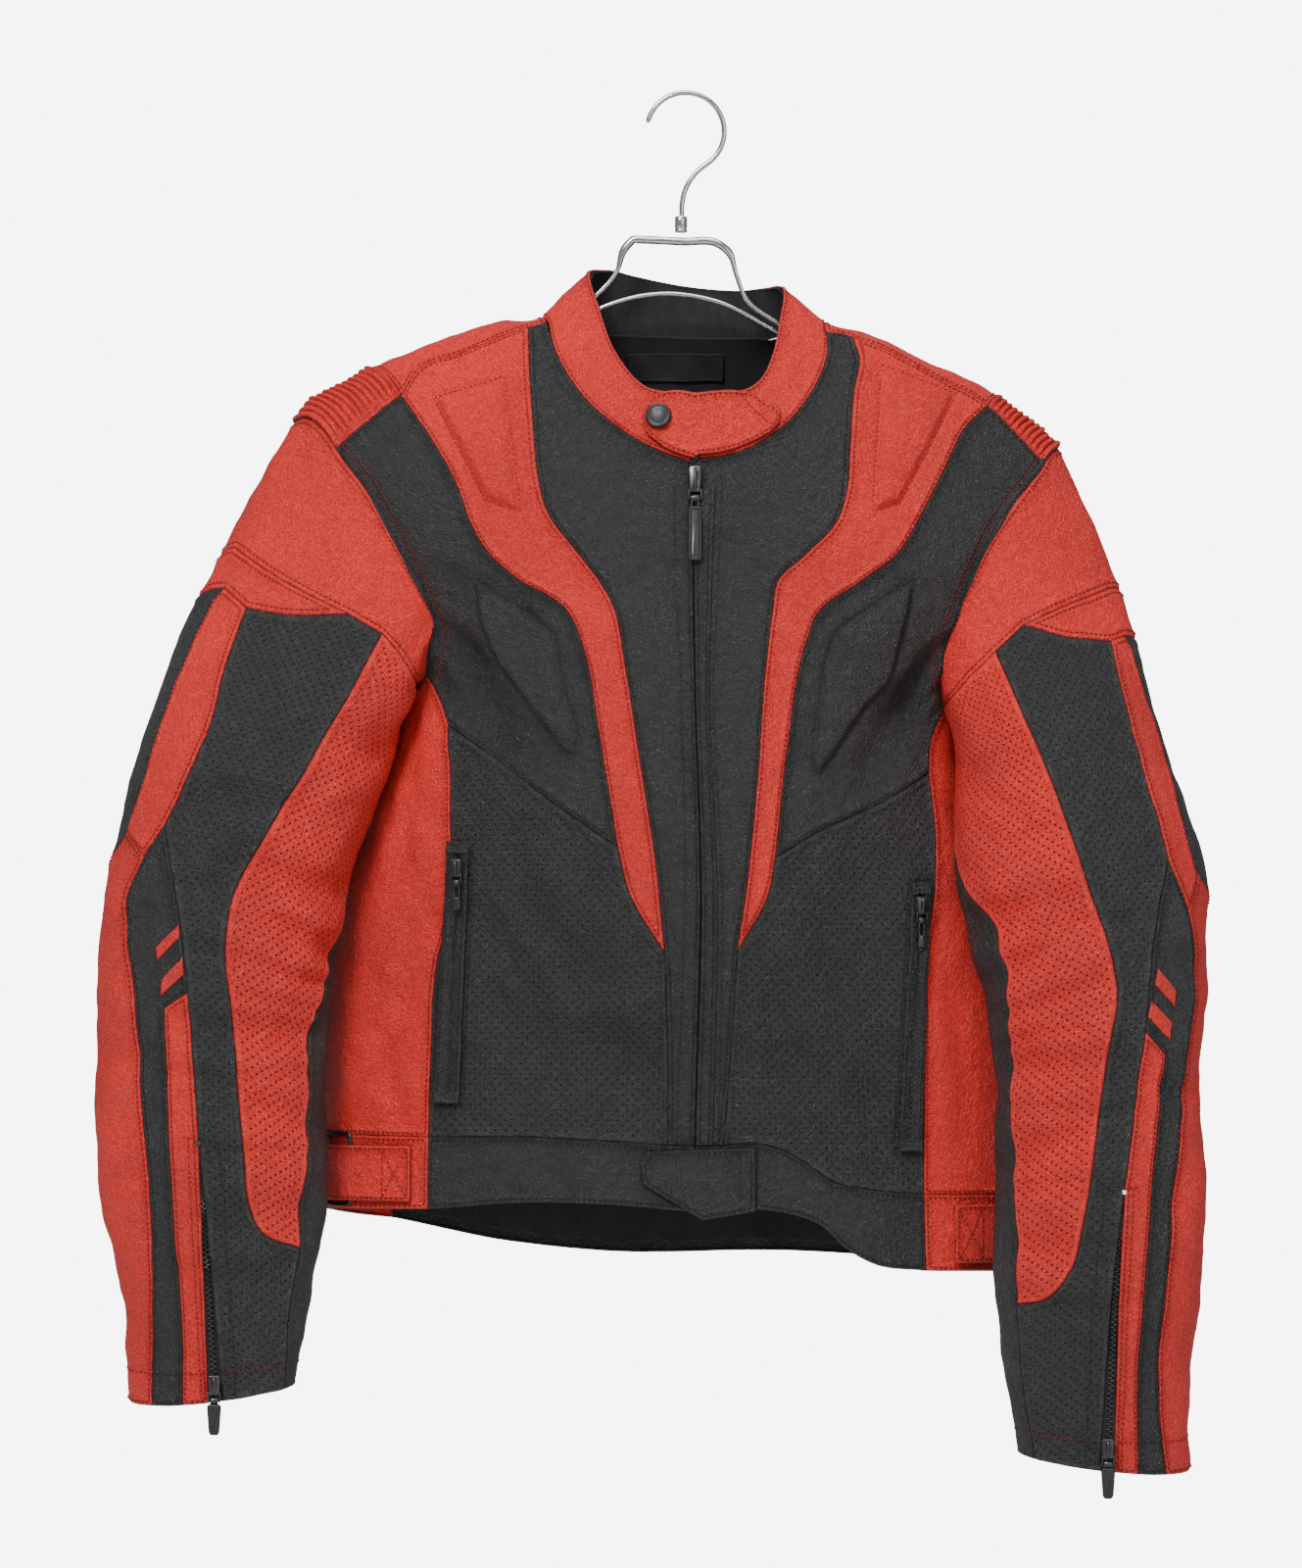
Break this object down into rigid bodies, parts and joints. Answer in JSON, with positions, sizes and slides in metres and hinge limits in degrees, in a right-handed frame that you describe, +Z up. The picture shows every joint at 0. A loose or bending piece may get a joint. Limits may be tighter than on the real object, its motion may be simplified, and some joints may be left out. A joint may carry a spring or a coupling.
{
  "type": "leather motorcycle jacket on a wire hanger",
  "caption": "Colour-blocked red and black leather motorcycle jacket with stand collar, zips and ribbed shoulders, hanging from a plain wire hanger.",
  "frame": {"origin": "inside of the crown of the hanger's hook, where it rests on the rail", "axes": "+Z up; -Y out of the jacket's front; +X to the viewer's right"},
  "size_m": [0.7333, 0.1784, 0.9372],
  "materials": {
    "red_leather": "semi-matt grained motorcycle leather",
    "perforated_red_leather": "semi-matt grained leather, finely perforated",
    "black_leather": "semi-matt grained motorcycle leather",
    "perforated_black_leather": "semi-matt grained leather, finely perforated",
    "lining": "dull woven lining",
    "dark_metal": "gunmetal plating",
    "black_puller": "moulded black rubber",
    "silver_wire": "polished plated wire"
  },
  "bodies": {
    "jacket": {"back_lining": "lining", "back_panel": "black_leather", "belt_back": "black_leather", "belt_end_left": "red_leather", "belt_end_right": "red_leather", "belt_front_left": "black_leather", "belt_front_right": "black_leather", "belt_tab": "black_leather", "chest_black_left": "black_leather", "chest_black_right": "black_leather", "chest_red_left": "red_leather", "chest_red_right": "red_leather", "collar": "red_leather", "collar_lining": "lining", "collar_snap": "dark_metal", "collar_tab": "red_leather", "cuff_left_slider": "dark_metal", "cuff_right_slider": "dark_metal", "front_centre_left": "black_leather", "front_centre_right": "black_leather", "front_lower_left": "perforated_black_leather", "front_lower_right": "perforated_black_leather", "front_slider": "dark_metal", "hanger_ferrule": "silver_wire", "hanger_frame": "silver_wire", "hanger_hook": "silver_wire", "pocket_left_slider": "dark_metal", "pocket_right_slider": "dark_metal", "pocket_welt_left": "black_leather", "pocket_welt_right": "black_leather", "rib_panel_left": "red_leather", "rib_panel_right": "red_leather", "side_panel_left": "red_leather", "side_panel_right": "red_leather", "sleeve_back_left": "black_leather", "sleeve_back_right": "black_leather", "sleeve_band_left": "red_leather", "sleeve_band_right": "red_leather", "sleeve_cap_left": "red_leather", "sleeve_cap_right": "red_leather", "sleeve_forearm_left": "black_leather", "sleeve_forearm_right": "black_leather", "sleeve_front_left": "perforated_black_leather", "sleeve_front_right": "perforated_black_leather", "sleeve_inner_left": "perforated_red_leather", "sleeve_inner_right": "perforated_red_leather", "sleeve_outer_lower_left": "red_leather", "sleeve_outer_lower_right": "red_leather", "sleeve_outer_upper_left": "red_leather", "sleeve_outer_upper_right": "red_leather", "sleeve_strip_left": "red_leather", "sleeve_strip_right": "red_leather", "strap_left": "red_leather", "strap_right": "red_leather", "yoke": "red_leather"},
    "front_zip_pull": {"front_pull": "black_puller"},
    "pocket_left_zip_pull": {"pocket_left_pull": "dark_metal"},
    "pocket_right_zip_pull": {"pocket_right_pull": "dark_metal"},
    "cuff_left_zip_pull": {"cuff_left_pull": "black_puller"},
    "cuff_right_zip_pull": {"cuff_right_pull": "black_puller"}
  },
  "joints": [
    {"name": "front_pull_hinge", "type": "hinge", "parent": "jacket", "child": "front_zip_pull", "pos_m": [0.006, -0.07604, -0.2727], "axis": [-1, 0, 0], "range_deg": [0, 120]},
    {"name": "pocket_left_pull_hinge", "type": "hinge", "parent": "jacket", "child": "pocket_left_zip_pull", "pos_m": [-0.152, -0.06772, -0.5267], "axis": [-0.9518, 0.3067, 0], "range_deg": [0, 120]},
    {"name": "pocket_right_pull_hinge", "type": "hinge", "parent": "jacket", "child": "pocket_right_zip_pull", "pos_m": [0.156, -0.06156, -0.5517], "axis": [-0.9289, -0.3702, 0], "range_deg": [0, 120]},
    {"name": "cuff_left_pull_hinge", "type": "hinge", "parent": "jacket", "child": "cuff_left_zip_pull", "pos_m": [-0.311, -0.08691, -0.8677], "axis": [-0.9987, -0.0516, 0], "range_deg": [-10, 120]},
    {"name": "cuff_right_pull_hinge", "type": "hinge", "parent": "jacket", "child": "cuff_right_zip_pull", "pos_m": [0.2775, -0.0961, -0.9087], "axis": [-1, -0.0061, 0], "range_deg": [-10, 120]}
  ]
}
